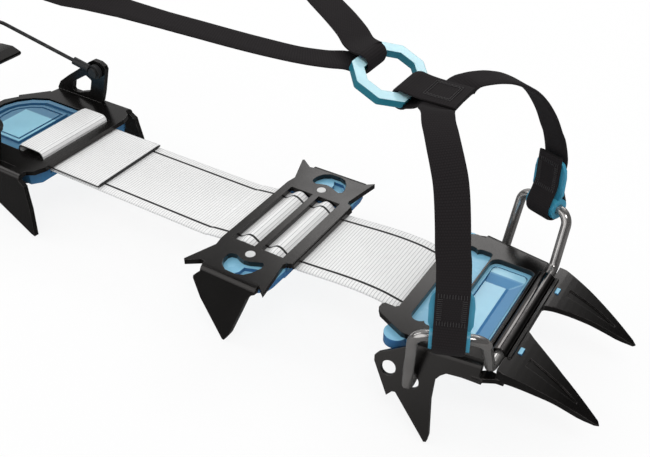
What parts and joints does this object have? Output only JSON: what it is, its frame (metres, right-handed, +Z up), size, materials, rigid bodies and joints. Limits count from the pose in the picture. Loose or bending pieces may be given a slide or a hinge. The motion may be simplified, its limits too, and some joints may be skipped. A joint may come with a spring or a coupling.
{
  "type": "mountaineering crampon",
  "caption": "Webbing-linked crampon with folded steel toe, mid and heel plates, strap-pulled toe bails, an ankle strap with a ring, and a cable heel lever.",
  "frame": {"origin": "centre of the toe plate's cross web, on its top face, in the plane that the boot sole rests on", "axes": "+X toward the toe points, +Y to the side that is far from the camera, +Z up from the sole plane"},
  "size_m": [0.3746, 0.1106, 0.1529],
  "materials": {
    "steel": "satin black coating on folded steel, worn along the edges",
    "nickel": "polished dark nickel",
    "antiball": "moulded light blue plastic",
    "sleeve": "moulded teal plastic",
    "strap_web": "black flat webbing",
    "link_web": "white ribbed webbing with two black tracers",
    "ring": "pale blue anodised",
    "rivet": "off-white",
    "black_plastic": "moulded black plastic",
    "screw": "bright plated steel",
    "claw": "black coated steel",
    "cable": "black coated wire rope"
  },
  "bodies": {
    "toe": {"front_plate": "steel", "toe_bar": "nickel", "front_antiball": "antiball", "link_pin": "nickel", "link_tuck": "link_web", "strap_tab": "strap_web", "toe_strap_near": "strap_web", "toe_strap_far": "strap_web"},
    "bail_near": {"bail_near": "nickel", "guard_near": "sleeve"},
    "bail_far": {"bail_far": "nickel", "guard_far": "sleeve"},
    "ring": {"strap_ring": "ring", "ankle_strap": "strap_web", "strap_keeper": "black_plastic"},
    "link_fore": {"link_front": "link_web"},
    "mid": {"mid_plate": "steel", "mid_rivets": "rivet", "mid_antiball": "antiball", "link_mid": "link_web"},
    "link_aft": {"link_rear": "link_web"},
    "heel": {"heel_plate": "steel", "heel_antiball": "antiball", "heel_screws": "screw", "ear_pins": "screw", "link_bight": "link_web"},
    "tail": {"link_tail": "link_web"},
    "cable": {"heel_cable": "cable", "cable_eyes": "screw"},
    "lever": {"lever": "black_plastic", "heel_strap": "strap_web"},
    "claw": {"lever_claw": "claw"},
    "wheel": {"height_screw": "screw"}
  },
  "joints": [
    {"name": "near_bail_hinge", "type": "hinge", "parent": "toe", "child": "bail_near", "pos_m": [0.0012, -0.0444, -0.0139], "axis": [0.7687, 0.5358, 0.3494], "range_deg": [-9, 9], "deforming": ["toe_strap_near"]},
    {"name": "far_bail_hinge", "type": "hinge", "parent": "toe", "child": "bail_far", "pos_m": [0.0012, 0.0444, -0.0139], "axis": [0.7687, -0.5358, 0.3494], "range_deg": [-9, 9], "deforming": ["toe_strap_far"]},
    {"name": "ring_hinge", "type": "hinge", "parent": "toe", "child": "ring", "pos_m": [-0.02816, 0, 0.08088], "axis": [0, 1, 0], "range_deg": [-6, 10]},
    {"name": "toe_fold", "type": "hinge", "parent": "toe", "child": "link_fore", "pos_m": [-0.0172, 0, -0.00375], "axis": [0, 1, 0], "range_deg": [-15, 15], "stiffness_Nm_per_rad": 6},
    {"name": "mid_fold_fore", "type": "hinge", "parent": "link_fore", "child": "mid", "pos_m": [-0.0642, 0, -0.00415], "axis": [0, 1, 0], "range_deg": [-15, 15], "stiffness_Nm_per_rad": 6},
    {"name": "mid_fold_aft", "type": "hinge", "parent": "mid", "child": "link_aft", "pos_m": [-0.1034, 0, -0.00375], "axis": [0, 1, 0], "range_deg": [-15, 15], "stiffness_Nm_per_rad": 6},
    {"name": "length_adjust", "type": "slide", "parent": "link_aft", "child": "heel", "axis": [1, 0, 0], "range_m": [0, 0.03]},
    {"name": "tail_feed", "type": "slide", "parent": "heel", "child": "tail", "axis": [1, 0, 0], "range_m": [0, 0.03]},
    {"name": "cable_hinge", "type": "hinge", "parent": "heel", "child": "cable", "pos_m": [-0.232, 0, 0.02], "axis": [0, 1, 0], "range_deg": [-15, 0]},
    {"name": "lever_hinge", "type": "hinge", "parent": "cable", "child": "lever", "pos_m": [-0.28741, 0, 0.04302], "axis": [0, 1, 0], "range_deg": [-40, 0], "deforming": ["heel_strap"]},
    {"name": "height_wheel", "type": "hinge", "parent": "lever", "child": "wheel", "pos_m": [-0.2943, 0, 0.0418], "axis": [-0.1736, 0, 0.9848], "range_deg": [-540, 900]},
    {"name": "claw_slide", "type": "slide", "parent": "lever", "child": "claw", "axis": [0.1736, 0, -0.9848], "range_m": [-0.0012, 0.002]}
  ],
  "couplings": [
    {"joint": "tail_feed", "follows": "length_adjust", "ratio": 1},
    {"joint": "height_wheel", "follows": "claw_slide", "rad_per_m": 7854}
  ]
}
